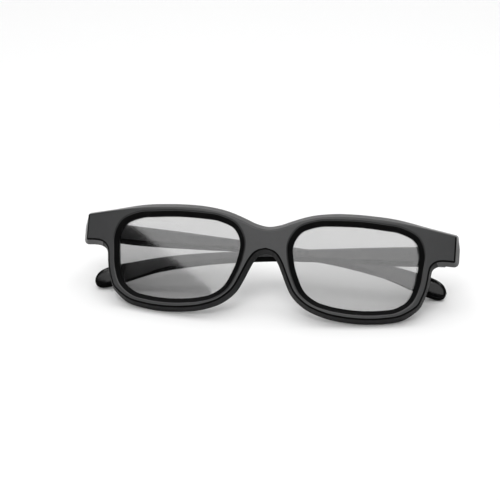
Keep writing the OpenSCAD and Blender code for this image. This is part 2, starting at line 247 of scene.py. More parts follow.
class HingeSizes(bpy.types.PropertyGroup):
    """Sizes of the hinges and the arms"""

    arm_out: length("Arm outside", "Outer face of the arm, out from the hinge line", 5.0)
    behind: length("Behind", "Hinge line, behind the back of the front", 8.0)
    height: length("Height", "Hinge middle above the lens centre line", 8.6)
    pin: length("Pin", "Diameter of the pin", 1.5)
    pin_round: length("Pin edges", "Rounding of the pin's rims", 0.15)
    pin_play: length("Pin play", "Radial play of the arm on its pin", 0.05)
    lug_radius: length("Lug radius", "Outer radius of lugs and tongue", 2.0)
    lug_height: length("Lug height", "Height of each of the two lugs", 2.3)
    tongue_height: length("Tongue height", "Height of the arm's tongue", 3.0)
    lug_gap: length("Lug gap", "Gap between a lug and the tongue", 0.12)
    edge_round: length("Edges", "Rounding of the hinge blocks' edges", 0.35)
    root_in: length("Root", "How far lugs and end return reach into the front", 1.6)
    return_short: length("Return gap", "Between the end return and the hinge line", 1.3)
    return_inset: length("Return inset", "End return, in from the arm's outer face", 0.5)
    return_lap: length("Return lap", "Overlap of the end return with the lugs", 0.6)
    butt_length: length("Butt length", "Butt of the arm, which meets the end return", 6.0)
    butt_past: length("Butt past", "How far the butt reaches past the hinge line", 1.1)
    butt_up: length("Butt top", "Height of the butt above the hinge's middle", 3.8)
    butt_down: length("Butt bottom", "Depth of the butt below the hinge's middle", 4.1)
    butt_clear: length("Butt clearance", "Between the butt and the lugs", 0.4)
    butt_skin: length("Butt skin", "Butt, in from the arm's outer face", 0.1)
    tongue_round: length("Tongue edges", "Rounding of the tongue's edges", 0.25)
    arm_root: length("Arm root", "Thickness of the arm at the hinge", 4.2)
    arm_middle: length("Arm middle", "Thickness of the arm along its middle", 2.4)
    arm_tip: length("Arm tip", "Thickness of the arm at the ear hook", 3.0)
    arm_slant: length("Arm slant", "How much lower the arm's outer face reaches than its inner one", 2.1)
    arm_shift: length("Arm shift", "How far the arm's middle moves out past its root", 0.15)
    arm_shift_by: length("Arm shift end", "Place along the arm by which it has moved", 40)
    tip_cap: length("Tip cap", "End of the arm, past the last row of its side view", 0.4)
    tip_blunt: length("Tip blunting", "How far the tip stays short of that end", 0.05)
    fold_left: angle("Left fold", "Folded angle of the left arm from the hinge line", -1.7)
    fold_right: angle("Right fold", "Folded angle of the right arm from the hinge line", 1.5)


class Finishes(bpy.types.PropertyGroup):
    """Colours of the finishes"""

    face: colour("Face", "Fine matte face of the front", (0.036, 0.0363, 0.0372))
    wall: colour("Walls", "Smoother black of the walls and the back", (0.012, 0.012, 0.0125))
    # Painted shade: near-black for the slope along the rim's lower edges and for the arms' lower sides
    painted_shade: colour("Recess", "Deep black of the seam line and the arms' lower sides",
                   (0.0012, 0.0012, 0.0012))
    # Painted shade: the bevel is painted darker than the walls
    bevel: colour("Bevel", "Dull black of the bevel round the lenses", (0.0045, 0.0045, 0.0046))
    # Painted shade: the lower walls get the wall's black with less reflection
    under: colour("Lower walls", "Dull black of the rim's lower walls", (0.014, 0.014, 0.0145))
    arm: colour("Arms", "Satin black of the arms", (0.055, 0.055, 0.0565))
    tip: colour("Arm tips", "Deep black of the glossy ear hooks", (0.004, 0.004, 0.0042))
    film: colour("Films", "Mirror colour of the films", (0.36, 0.36, 0.36))
    steel: colour("Pins", "Hinge pins", (0.6, 0.6, 0.62))
    floor: colour("Floor", "Studio floor", (0.9, 0.9, 0.9))
    retarder_tint: share("Retarder tint", "Light held back by each face of the front film", 0.12)
    polariser_tint: share("Polariser tint", "Light held back by each face of the back film", 0.28)


class StageSizes(bpy.types.PropertyGroup):
    """Camera and lights"""

    camera_azimuth: angle("Azimuth", "Camera to the right of straight ahead", 6.335)
    camera_drop: angle("Drop", "Camera below the face's own normal", 5.0)
    camera_roll: angle("Roll", "Camera roll", 4.204)
    camera_distance: length("Distance", "Camera from the face's middle", 629.6)
    focal_length: FloatProperty(name="Focal length", description="Lens of the camera, in mm",
                                default=117.4, unit="CAMERA")
    image_pixels: IntProperty(name="Image", description="Pixels across the square picture", default=500)
    middle_across: number("Middle across", "Pixel column of the lens axis", 264.886)
    middle_down: number("Middle down", "Pixel row of the lens axis", 259.826)
    room: number("Room light", "Brightness of the dark room", 0.012)
    ceiling: number("Ceiling light", "Brightness of the softbox overhead", 2.1)
    key: number("Key light", "Brightness of the lamp above the camera", 6.5)
    backdrop: number("Backdrop", "Brightness of the white sheet behind", 1.0)
    front: number("Front light", "Brightness of the softbox in front", 1.2)


GROUPS = {
    "front": FrontSizes,
    "films": FilmSizes,
    "hinges": HingeSizes,
    "finishes": Finishes,
    "stage": StageSizes,
}


def sizes(group):
    """One of the property groups of this scene."""
    return getattr(bpy.context.scene, f"glasses_{group}")


# Curves

def between(a, b, c, d, t):
    """A point on a smooth curve through four points, between the middle two."""
    return 0.5 * (2 * b + (c - a) * t + (2 * a - 5 * b + 4 * c - d) * t ** 2
                  + (3 * b - a - 3 * c + d) * t ** 3)


def rounded(start, corner, end, count):
    """Points that round off a corner."""
    points = []
    for k in range(count + 1):
        t = k / count
        points.append(start * (1 - t) ** 2 + corner * (2 * t * (1 - t)) + end * t ** 2)
    return points


def mix(first, second, t):
    """A number between two others."""
    return first + (second - first) * t


def rise(value, low, high):
    """Nought at one value and one at another, with a soft start and end between them."""
    t = max(0.0, min(1.0, (value - low) / (high - low)))
    return t * t * (3 - 2 * t)


def signed_power(value, power):
    """A power of a number's size, with the number's own sign."""
    return math.copysign(abs(value) ** power, value)


def opening_at(place):
    """Point on the lens opening, at a place counted in its drawn points."""
    first = math.floor(place)
    knots = [Vector(OPENING[(first + k) % len(OPENING)]) * MM for k in (-1, 0, 1, 2)]
    return between(*knots, place - first)


def opening_out(place):
    """Direction away from the opening's middle, square to its edge."""
    along = (opening_at(place + OPENING_STEP) - opening_at(place - OPENING_STEP)).normalized()
    return Vector((along.y, -along.x))


def bevel_at(outward):
    """Width of the bevel where the opening's edge faces a given way."""
    size = sizes("front")
    return size.bevel_width + size.bevel_more * outward.y


def station_x(index):
    """Distance of a station from the middle plane."""
    return STATIONS[index].x * MM


def station_z(index):
    """Height of a station above the lens centre line."""
    return STATIONS[index].z * MM


def flare_at(edge):
    """Spread of the wall, which eases off at the top end corners and on the outer sides."""
    size = sizes("front")
    at_corner = (rise(edge.x, station_x(BROW_INNER), station_x(BROW_OUTER))
                 * rise(edge.y, station_z(END_MIDDLE), station_z(END_TOP)))
    outside = (rise(edge.x, station_x(RIM_LOW), station_x(RIM_SIDE))
               * rise(edge.y, station_z(END_UNDER), station_z(OUTER_SIDE)))
    return mix(size.flare, size.end_flare, max(at_corner, outside))


class Section:
    """One cross-section of the rim: a point of the opening and one of the outer edge."""

    def __init__(self, edge, place, kind):
        self.edge = edge
        self.kind = kind
        self.inner = opening_at(place)
        self.inner_out = opening_out(place)
        self.out = Vector((0, 0))

    @property
    def middle(self):
        """True where the outer edge lies on the middle plane."""
        return self.kind in (BROW, MIDDLE, ARCH)


def edge_sections(corner_reach):
    """Sections round one lens, from the outer side over the brow to the nose and back."""
    count = len(STATIONS)

    def spot(j):
        station = STATIONS[j % count]
        return Vector((station.x, station.z)) * MM

    def kind(j):
        return STATIONS[j % count].kind

    def before(j):
        """Point that steers the curve where it leaves a station."""
        if kind(j) == ARCH:
            return Vector((-spot(j + 1).x, spot(j + 1).y))
        return spot(j - 1) if kind(j) == SMOOTH else 2 * spot(j) - spot(j + 1)

    def after(j):
        """Point that steers the curve where it comes to a station."""
        if kind(j) == BROW:
            return Vector((-spot(j - 1).x, spot(j - 1).y))
        return spot(j + 1) if kind(j) == SMOOTH else 2 * spot(j) - spot(j - 1)

    sections = []
    corners = [spot(j) for j in range(count) if kind(j) == CORNER]
    for j in range(count):
        place = STATIONS[j].place
        following = STATIONS[j + 1].place if j + 1 < count else len(OPENING)
        if kind(j) == CORNER:
            start = spot(j) + (spot(j - 1) - spot(j)).normalized() * corner_reach
            end = spot(j) + (spot(j + 1) - spot(j)).normalized() * corner_reach
            for k, point in enumerate(rounded(start, spot(j), end, SECTION_STEPS)):
                turn_place = place + (k / SECTION_STEPS - 0.5) * CORNER_SPAN
                sections.append(Section(point, turn_place, SMOOTH))
        for k in range(1 if kind(j) == CORNER else 0, SECTION_STEPS):
            t = k / SECTION_STEPS
            point = between(before(j), spot(j), spot(j + 1), after(j + 1), t)
            if any((point - corner).length < CORNER_CLEAR * corner_reach for corner in corners):
                continue
            if k == 0:
                here = kind(j)
            else:
                here = MIDDLE if kind(j) in (BROW, MIDDLE) else SMOOTH
            sections.append(Section(point, place + (following - place) * t, here))
    mitre(sections)
    return sections


def mitre(sections):
    """Sets each section's outward direction, so that an offset edge stays parallel."""
    for i, section in enumerate(sections):
        if section.middle:
            section.out = Vector((0, {BROW: 1, MIDDLE: 0, ARCH: -1}[section.kind]))
            continue
        sides = []
        for a, b in ((sections[i - 1], section), (section, sections[(i + 1) % len(sections)])):
            along = (b.edge - a.edge).normalized()
            sides.append(Vector((along.y, -along.x)))
        section.out = (sides[0] + sides[1]) / (1 + sides[0].dot(sides[1]))


# Placing

def wrap(x):
    """Depth of the wrapped face at a distance x from the middle."""
    radius = sizes("front").wrap_radius
    return radius - math.sqrt(radius * radius - x * x)


def bent(x, depth, z):
    """A point of the flat front, moved to where the wrap puts it."""
    return Vector((x, depth + wrap(x), z))


def stand():
    """The front's own frame in the world, found from the two hinges."""
    front, hinge = sizes("front"), sizes("hinges")
    lean = Matrix.Rotation(-front.lean, 4, "X")
    across = abs(HINGES["left"]["pos_m"][0])
    own = Vector((0, wrap(across) + front.thickness + hinge.behind, hinge.height))
    world = sum((Vector(joint["pos_m"]) for joint in HINGES.values()), Vector()) / 2
    return Matrix.Translation(world - lean @ own) @ lean


def hinge_frame(side):
    """Frame of one hinge: origin at its middle, Z up along the pin, Y towards the wearer."""
    up = Vector(HINGES[side]["axis"]).normalized()
    if up.z < 0:
        up = -up
    across = (stand().to_3x3() @ Vector((0, 1, 0))).cross(up).normalized()
    turn = Matrix((across, up.cross(across), up)).transposed().to_4x4()
    return Matrix.Translation(Vector(HINGES[side]["pos_m"])) @ turn


def lug_span():
    """Lower and upper end of the upper lug, from the hinge's middle."""
    hinge = sizes("hinges")
    low = hinge.tongue_height / 2 + hinge.lug_gap
    return low, low + hinge.lug_height


def groove_start():
    """Depth of the film groove's near side, behind the face."""
    front = sizes("front")
    return front.bevel_depth + front.lip


def film_stack():
    """Thickness of the two films together."""
    films = sizes("films")
    return films.retarder + films.polariser


# Mesh helpers

def mesh_object(name, bm, materials=()):
    """A new object from a bmesh, with its faces turned outwards."""
    bm.normal_update()
    bmesh.ops.recalc_face_normals(bm, faces=bm.faces)
    mesh = bpy.data.meshes.new(name)
    bm.to_mesh(mesh)
    bm.free()
    for material in materials:
        mesh.materials.append(material)
    piece = bpy.data.objects.new(name, mesh)
    bpy.context.scene.collection.objects.link(piece)
    return piece


def smooth(piece, hard_edge):
    """Smooth shading with hard edges kept."""
    piece.data.shade_smooth()
    piece.data.set_sharp_from_angle(angle=math.radians(hard_edge))


def shade(piece, hard_edge=HARD_EDGE):
    """The same, with flat faces that stay flat."""
    smooth(piece, hard_edge)
    modifier = piece.modifiers.new("Flat faces", "WEIGHTED_NORMAL")
    modifier.keep_sharp = True


def combine(base, tools, operation="UNION"):
    """Joins solids to, or cuts them from, a base solid, which keeps its name."""
    for tool in tools:
        modifier = base.modifiers.new("Combine", "BOOLEAN")
        modifier.operation = operation
        modifier.object = tool
        modifier.solver = "MANIFOLD"
    bpy.context.view_layer.update()
    graph = bpy.context.evaluated_depsgraph_get()
    made = bpy.data.meshes.new_from_object(base.evaluated_get(graph))
    if not made.polygons:
        raise RuntimeError(f"{base.name} came out empty")
    old = base.data
    base.modifiers.clear()
    base.data = made
    made.name = base.name
    bpy.data.meshes.remove(old)
    for tool in tools:
        mesh = tool.data
        bpy.data.objects.remove(tool)
        bpy.data.meshes.remove(mesh)


def loft(bm, rings):
    """Skins a list of closed rings of points and returns the vertex grid."""
    grid = [[bm.verts.new(point) for point in ring] for ring in rings]
    for a, b in zip(grid, grid[1:]):
        for k in range(len(a)):
            bm.faces.new((a[k], a[k - 1], b[k - 1], b[k]))
    return grid


def close_ring(bm, ring, hub_spot):
    """Closes a ring with triangles round a hub."""
    hub = bm.verts.new(hub_spot)
    for k in range(len(ring)):
        bm.faces.new((ring[k], ring[k - 1], hub))


def block(name, low, high, edge_round, materials, place, finish=SATIN):
    """A rounded block between two corners."""
    bm = bmesh.new()
    bmesh.ops.create_cube(bm, size=1)
    low, high = Vector(low), Vector(high)
    for vert in bm.verts:
        vert.co = Vector((low[k] if vert.co[k] < 0 else high[k] for k in range(3)))
    bmesh.ops.bevel(bm, geom=bm.edges, offset=edge_round, segments=BLOCK_STEPS, profile=0.5,
                    affect="EDGES")
    bm.transform(place)
    for face in bm.faces:
        face.material_index = finish
    return mesh_object(name, bm, materials)


def drum(name, radius, low, high, edge_round, materials, place, finish=SATIN, sides=DRUM_SIDES):
    """A turned cylinder with rounded rims."""
    profile = rounded(Vector((radius - edge_round, low)), Vector((radius, low)),
                      Vector((radius, low + edge_round)), DRUM_STEPS)
    profile += rounded(Vector((radius, high - edge_round)), Vector((radius, high)),
                       Vector((radius - edge_round, high)), DRUM_STEPS)
    turns = [2 * math.pi * k / sides for k in range(sides)]
    rings = [[(p.x * math.cos(turn), p.x * math.sin(turn), p.y) for turn in turns] for p in profile]
    bm = bmesh.new()
    grid = loft(bm, rings)
    bm.faces.new(grid[0])
    bm.faces.new(grid[-1])
    bm.transform(place)
    for face in bm.faces:
        face.material_index = finish
    return mesh_object(name, bm, materials)


def bore(radius, materials, place, finish=SATIN):
    """Tool that cuts a pin's bore through a hinge."""
    return drum("bore", radius, -BORE_REACH, BORE_REACH, BORE_EDGE, materials, place, finish)


# Finishes

def material_base(name, base, roughness):
    """A material and its shader, or the material alone where it was made before."""
    material = bpy.data.materials.get(name)
    if material:
        return material, None
    material = bpy.data.materials.new(name)
    material.use_nodes = True
    shader = material.node_tree.nodes["Principled BSDF"]
    shader.inputs["Base Color"].default_value = (*base, 1)
    shader.inputs["Roughness"].default_value = roughness
    return material, shader


def noise(tree, scale, detail=PATCH_DETAIL):
    """Noise in the piece's own space."""
    where = tree.nodes.new("ShaderNodeTexCoord")
    texture = tree.nodes.new("ShaderNodeTexNoise")
    texture.inputs["Scale"].default_value = scale
    texture.inputs["Detail"].default_value = detail
    tree.links.new(where.outputs["Object"], texture.inputs["Vector"])
    return texture.outputs["Fac"]


def ramp(tree, value, low, high):
    """Maps the middle of a noise's range to a range of its own."""
    node = tree.nodes.new("ShaderNodeMapRange")
    node.inputs["From Min"].default_value = NOISE_LOW
    node.inputs["From Max"].default_value = NOISE_HIGH
    node.inputs["To Min"].default_value = low
    node.inputs["To Max"].default_value = high
    tree.links.new(value, node.inputs["Value"])
    return node.outputs["Result"]


def grained(tree, shader, scale, depth):
    """Fine relief of a given depth."""
    node = tree.nodes.new("ShaderNodeBump")
    node.inputs["Strength"].default_value = 1.0
    node.inputs["Distance"].default_value = depth
    tree.links.new(noise(tree, scale, GRAIN_DETAIL), node.inputs["Height"])
    tree.links.new(node.outputs["Normal"], shader.inputs["Normal"])


def blend(tree, shader, value, first, second):
    """Base colour that runs from one colour to another as a value runs from nought to one."""
    node = tree.nodes.new("ShaderNodeMix")
    node.data_type = "RGBA"
    node.inputs["A"].default_value = (*first, 1)
    node.inputs["B"].default_value = (*second, 1)
    tree.links.new(value, node.inputs["Factor"])
    tree.links.new(node.outputs["Result"], shader.inputs["Base Color"])


def mottled(tree, shader, base, scale, spread):
    """Varies the base colour a little."""
    blend(tree, shader, noise(tree, scale), [c * (1 - spread) for c in base],
          [c * (1 + spread) for c in base])


def surface(name, base, roughness, patches=None, grain=None, mottle=None, plain=None):
    """A finish; its patches of roughness, grain and mottling are each led by their scale."""
    material, shader = material_base(name, base, roughness)
    if shader:
        tree = material.node_tree
        for socket, value in (plain or {}).items():
            shader.inputs[socket].default_value = value
        if mottle:
            mottled(tree, shader, base, *mottle)
        if patches:
            scale, low, high = patches
            tree.links.new(ramp(tree, noise(tree, scale), low, high), shader.inputs["Roughness"])
        if grain:
            grained(tree, shader, *grain)
    return material


def matte_face():
    """Fine spark-textured face of the moulding."""
    return surface("matte_face", sizes("finishes").face, roughness=0.5, patches=(900, 0.44, 0.54),
                   grain=(5200, 0.012 * MM), mottle=(160, 0.10))


def smooth_wall():
    """Smoother black of walls, back and hinge blocks."""
    return surface("smooth_wall", sizes("finishes").wall, roughness=0.3, patches=(700, 0.29, 0.35),
                   grain=(2600, 0.004 * MM), mottle=(240, 0.08))


def painted_shade_black():
    """Painted shade: near-black with almost no reflection, on the slope along the rim's lower edges and
    on the arms' lower sides.
    """
    return surface("painted_shade_black", sizes("finishes").painted_shade, roughness=0.35, patches=(900, 0.42, 0.54),
                   grain=(3000, 0.003 * MM), plain={"Specular IOR Level": 0.03})


def shaded_bevel():
    """Black of the moulding made darker and duller on the bevel round the lenses, as painted shade of
    that recess; it still catches a little light from above.
    """
    return surface("shaded_bevel", sizes("finishes").bevel, roughness=0.5, patches=(900, 0.42, 0.54),
                   grain=(3000, 0.003 * MM), plain={"Specular IOR Level": 0.03})


def shaded_under_wall():
    """Black of the walls with its reflection turned well down, on the rim's lower walls only: painted
    shade.
    """
    return surface("shaded_under_wall", sizes("finishes").under, roughness=0.5, patches=(700, 0.44, 0.56),
                   grain=(2600, 0.004 * MM), mottle=(240, 0.12), plain={"Specular IOR Level": 0.1})


def satin_arm():
    """Satin black that turns glossy towards the arm's tip."""
    base = sizes("finishes").arm
    material, shader = material_base("satin_arm", base, roughness=0.4)
    if shader:
        tree = material.node_tree
        gloss = tree.nodes.new("ShaderNodeAttribute")
        gloss.attribute_name = "tip_gloss"
        roughness = tree.nodes.new("ShaderNodeMix")
        tree.links.new(gloss.outputs["Fac"], roughness.inputs["Factor"])
        tree.links.new(ramp(tree, noise(tree, 700), 0.36, 0.46), roughness.inputs["A"])
        roughness.inputs["B"].default_value = 0.12
        tree.links.new(roughness.outputs["Result"], shader.inputs["Roughness"])
        blend(tree, shader, gloss.outputs["Fac"], base, sizes("finishes").tip)
        grained(tree, shader, 4200, 0.004 * MM)
    return material


def film(name, tint):
    """Thin glossy film that mirrors and holds back part of the light at each face."""
    return surface(name, sizes("finishes").film, roughness=0.04, patches=(60, 0.03, 0.055),
                   plain={"Alpha": tint, "Metallic": 1.0})


def turned_steel():
    """Turned steel of the hinge pins."""
    return surface("turned_steel", sizes("finishes").steel, roughness=0.3, patches=(3000, 0.24, 0.4),
                   grain=(6000, 0.003 * MM), plain={"Metallic": 1.0})


def studio_floor():
    """Plain pale floor."""
    return surface("studio_floor", sizes("finishes").floor, roughness=0.7,
                   plain={"Specular IOR Level": 0.2})


# Pieces

class GLASSES_OT_front(bpy.types.Operator):
    """Builds the front moulding with its hinge lugs"""

    bl_idname = "glasses.front"
    bl_label = "Front"

    def execute(self, context):
        # The seam, lower-wall and bevel finishes are painted shade
        materials = [matte_face(), smooth_wall(), painted_shade_black(), shaded_under_wall(), shaded_bevel()]
        front = self.moulding(materials)
        tools = []
        for side, sign in SIDES.items():
            tools += self.lugs(side, sign, materials)
        combine(front, tools)
        radius = sizes("hinges").pin / 2
        bores = [bore(radius, materials, hinge_frame(side), WALL) for side in SIDES]
        combine(front, bores, "DIFFERENCE")
        shade(front)
        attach(front, "front")
        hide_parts("front_frame")
        return {"FINISHED"}

    def profile(self, section):
        """Outline of a rim section, from the bevel over the face and the back to the film groove."""
        size = sizes("front")
        wide, flare = bevel_at(section.inner_out), flare_at(section.edge)
        thick, back, slope = size.thickness, size.back_round, size.face_break
        # Painted shade: the slope along the rim's lower half gets a near-black finish
        seam = WALL if section.out.y > SEAM_ENDS else SHADED_SEAM
        at_end = section.edge.x > station_x(END_START)
        # Painted shade: the lower walls away from the ends get the duller copy of the wall finish
        side = WALL if at_end or section.out.y > SHADED_UNDER_ENDS else SHADED_UNDER
        across, deep = Vector((1, 0)), Vector((0, 1))
        slope_start, slope_end = Vector((-slope, 0)), Vector((0, slope))
        wall_end, back_start = Vector((flare, thick - back)), Vector((flare - back, thick))
        down = (slope_end - slope_start).normalized()
        wall = (wall_end - slope_end).normalized()
        chamfer = (back_start - wall_end).normalized()
        bevel = Vector((wide, size.bevel_depth)).normalized()
        near = groove_start()
        far = near + film_stack() + 2 * sizes("films").face_play
        floor = wide - size.groove
        points = []

        def add(edge, run, finish, next_finish=None):
            """Adds a run of points; the strip after its last point may have a finish of its own."""
            points.extend(ProfilePoint(edge, p.x, p.y, finish) for p in run)
            if next_finish is not None:
                points[-1] = points[-1]._replace(finish=next_finish)

        def turn(corner, arriving, leaving, reach, steps=EDGE_STEPS):
            """Rounds the corner between two directions."""
            return rounded(corner - arriving * reach, corner, corner + leaving * reach, steps)

        add("inner", turn(Vector((0, 0)), -bevel, -across, size.rim_round, RIM_STEPS), WALL, FACE)
        add("outer", turn(slope_start, across, down, size.edge_round), seam)
        add("outer", turn(slope_end, down, wall, size.edge_round), seam, side)
        add("outer", turn(wall_end, wall, chamfer, back * BACK_SOFT), side)
        add("outer", turn(back_start, chamfer, -across, back * BACK_SOFT), WALL)
        add("inner", turn(Vector((wide, thick)), across, -deep, size.opening_round, OPENING_STEPS), WALL)
        groove = [(wide, far), (floor, far), (floor, near), (wide, near)]
        add("inner", [Vector(point) for point in groove], WALL)
        # The bevel gets its darker finish: painted shade
        add("inner", [Vector((wide, size.bevel_depth))], SHADED_BEVEL)
        return points

    def place(self, section, point):
        """A profile point on a section, as distance across, depth and height."""
        if point.edge == "inner":
            flat = section.inner - section.inner_out * point.offset
        else:
            flat = section.edge + section.out * point.offset
        return Vector((flat.x, point.depth, flat.y))

    def ring(self, section):
        """All points round one section, with extra ones across the face and the back."""
        profile = self.profile(section)
        points = []
        for k, point in enumerate(profile):
            following = profile[(k + 1) % len(profile)]
            here = self.place(section, point)
            points.append(RingPoint(here, point.edge == "outer", point.finish))
            if point.edge != following.edge:
                there = self.place(section, following)
                finish = FACE if point.depth == 0 else WALL
                for step in range(1, FACE_STRIPS):
                    points.append(RingPoint(here.lerp(there, step / FACE_STRIPS), False, finish))
        return points

    def moulding(self, materials):
        """Sweeps the rim section round one lens, bends it and mirrors it for the other."""
        sections = edge_sections(sizes("front").corner_round)
        rings = [self.ring(section) for section in sections]
        bm = bmesh.new()
        grid = [[bm.verts.new(bent(*point.spot)) for point in ring] for ring in rings]
        for i, ring in enumerate(rings):
            j = (i + 1) % len(rings)
            inside = sections[i].middle and sections[j].middle
            for k in range(len(ring)):
                m = (k + 1) % len(ring)
                if inside and ring[k].outer and ring[m].outer:
                    continue
                face = bm.faces.new((grid[i][k], grid[j][k], grid[j][m], grid[i][m]))
                face.material_index = ring[k].finish
        loose = [v for v in bm.verts if not v.link_faces]
        bmesh.ops.delete(bm, geom=loose, context="VERTS")
        other = bmesh.ops.duplicate(bm, geom=bm.verts[:] + bm.edges[:] + bm.faces[:])["geom"]
        for vert in [g for g in other if isinstance(g, bmesh.types.BMVert)]:
            vert.co.x = -vert.co.x
        bmesh.ops.reverse_faces(bm, faces=[g for g in other if isinstance(g, bmesh.types.BMFace)])
        on_middle = [v for v in bm.verts if abs(v.co.x) < MERGE]
        bmesh.ops.remove_doubles(bm, verts=on_middle, dist=MERGE)
        bm.transform(stand())
        return mesh_object("front_moulding", bm, materials)

    def lugs(self, side, sign, materials):
        """Two lugs and the end return of one hinge."""
        hinge = sizes("hinges")
        place = hinge_frame(side)
        reach = -hinge.behind - hinge.root_in
        radius, edge = hinge.lug_radius, hinge.edge_round
        low, top = lug_span()
        made = []
        for name, start, end in (("lug_low", -top, -low), ("lug_high", low, top)):
            made.append(drum(name, radius, start, end, edge, materials, place, WALL))
            made.append(block(name, (-radius, reach, start), (radius, 0, end), edge, materials, place,
                              WALL))
        near, far = radius - hinge.return_lap, hinge.arm_out - hinge.return_inset
        low_x, high_x = sorted((sign * near, sign * far))
        made.append(block("end_return", (low_x, reach, -top), (high_x, -hinge.return_short, top),
                          edge, materials, place, WALL))
        return made


class GLASSES_OT_films(bpy.types.Operator):
    """Builds the two films of each lens"""

    bl_idname = "glasses.films"
    bl_label = "Lens films"

    def execute(self, context):
        size, finish = sizes("films"), sizes("finishes")
        start = groove_start() + size.face_play
        half = size.bond_gap / 2
        layers = {
            "retarder": (start, start + size.retarder - half,
                         film("clear_retarder", finish.retarder_tint)),
            "polariser": (start + size.retarder + half, start + film_stack(),
                          film("grey_polariser", finish.polariser_tint)),
        }
        for side, sign in SIDES.items():
            for layer, (near, far, material) in layers.items():
                piece = self.sheet(f"film_{side}_{layer}", sign, near, far, material)
                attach(piece, "front")
                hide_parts(f"lens_{side}_{layer}")
        return {"FINISHED"}

    def outline(self):
        """Rim of a film, which stands in the groove with a little play."""
        points = []
        for k in range(FILM_POINTS):
            place = len(OPENING) * k / FILM_POINTS
            out = opening_out(place)
            inset = bevel_at(out) - sizes("front").groove + sizes("films").rim_play
            points.append(opening_at(place) - out * inset)
        return points

    def sheet(self, name, sign, near, far, material):
        """One bent film, cut to the groove, with a slightly rounded rim."""
        rim = sizes("films").rim_round
        centre = Vector(LENS_MIDDLE) * MM
        outline = self.outline()
        eased_rim = [p - (p - centre).normalized() * rim for p in outline]
        shares = [q / FILM_RINGS for q in range(1, FILM_RINGS)]
        rows = [([centre.lerp(p, t) for p in eased_rim], near) for t in shares]
        rows += [(eased_rim, near), (outline, near + rim), (outline, far - rim), (eased_rim, far)]
        rows += [([centre.lerp(p, t) for p in eased_rim], far) for t in reversed(shares)]
        bm = bmesh.new()
        grid = loft(bm, [[bent(sign * p.x, depth, p.y) for p in row] for row, depth in rows])
        for ring, depth in ((grid[0], near), (grid[-1], far)):
            close_ring(bm, ring, bent(sign * centre.x, depth, centre.y))
        bm.transform(stand())
        piece = mesh_object(name, bm, [material])
        smooth(piece, CURVED_HARD_EDGE)
        return piece


